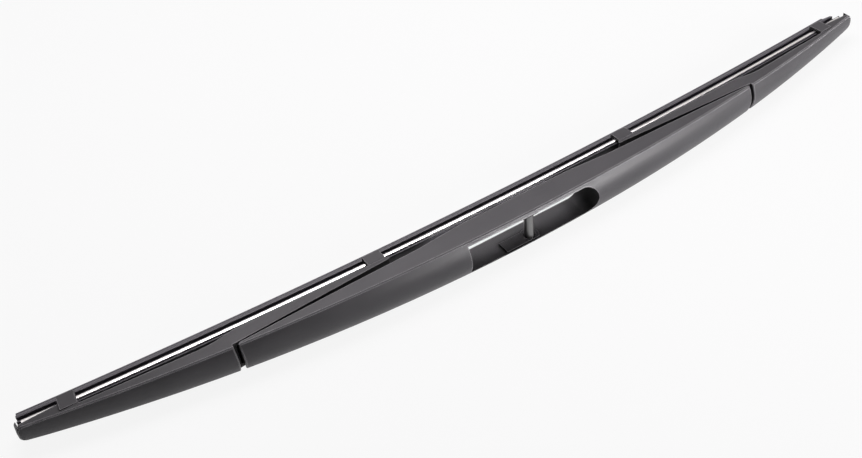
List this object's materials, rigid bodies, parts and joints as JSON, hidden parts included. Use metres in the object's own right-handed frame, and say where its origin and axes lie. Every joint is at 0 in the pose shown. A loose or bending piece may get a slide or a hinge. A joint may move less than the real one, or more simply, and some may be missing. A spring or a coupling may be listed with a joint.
{
  "type": "wiper blade",
  "caption": "Hard-framed rear wiper blade: crowned bridge with an arm pin in a window, pivoting levers and a rubber blade on spring strips.",
  "frame": {"origin": "middle of the arm pin, on the blade's middle plane", "axes": "+X along the blade towards the window's round end, +Y from the spine towards the wiping lip, +Z across the blade along the arm pin"},
  "size_m": [0.3984, 0.0357, 0.0164],
  "materials": {
    "frame_plastic": "fine-grained satin black moulding",
    "pin_steel": "dark drawn steel",
    "strip_steel": "bright rolled spring steel",
    "rubber": "matt extruded rubber"
  },
  "bodies": {
    "bridge": {"bridge": "frame_plastic", "arm_pin": "pin_steel", "rubber_blade": "rubber", "upper_strip": "strip_steel", "lower_strip": "strip_steel"},
    "left_lever": {"left_lever": "frame_plastic"},
    "right_lever": {"right_lever": "frame_plastic"}
  },
  "joints": [
    {"name": "left_pivot", "type": "hinge", "parent": "bridge", "child": "left_lever", "pos_m": [-0.1178, 0.01046, 0], "axis": [0, 0, -1], "range_deg": [-8, 4.5], "stiffness_Nm_per_rad": 0.6, "deforming": ["rubber_blade", "upper_strip", "lower_strip"]},
    {"name": "right_pivot", "type": "hinge", "parent": "bridge", "child": "right_lever", "pos_m": [0.1178, 0.01046, 0], "axis": [0, 0, 1], "range_deg": [-8, 4.5], "stiffness_Nm_per_rad": 0.6, "deforming": ["rubber_blade", "upper_strip", "lower_strip"]}
  ]
}
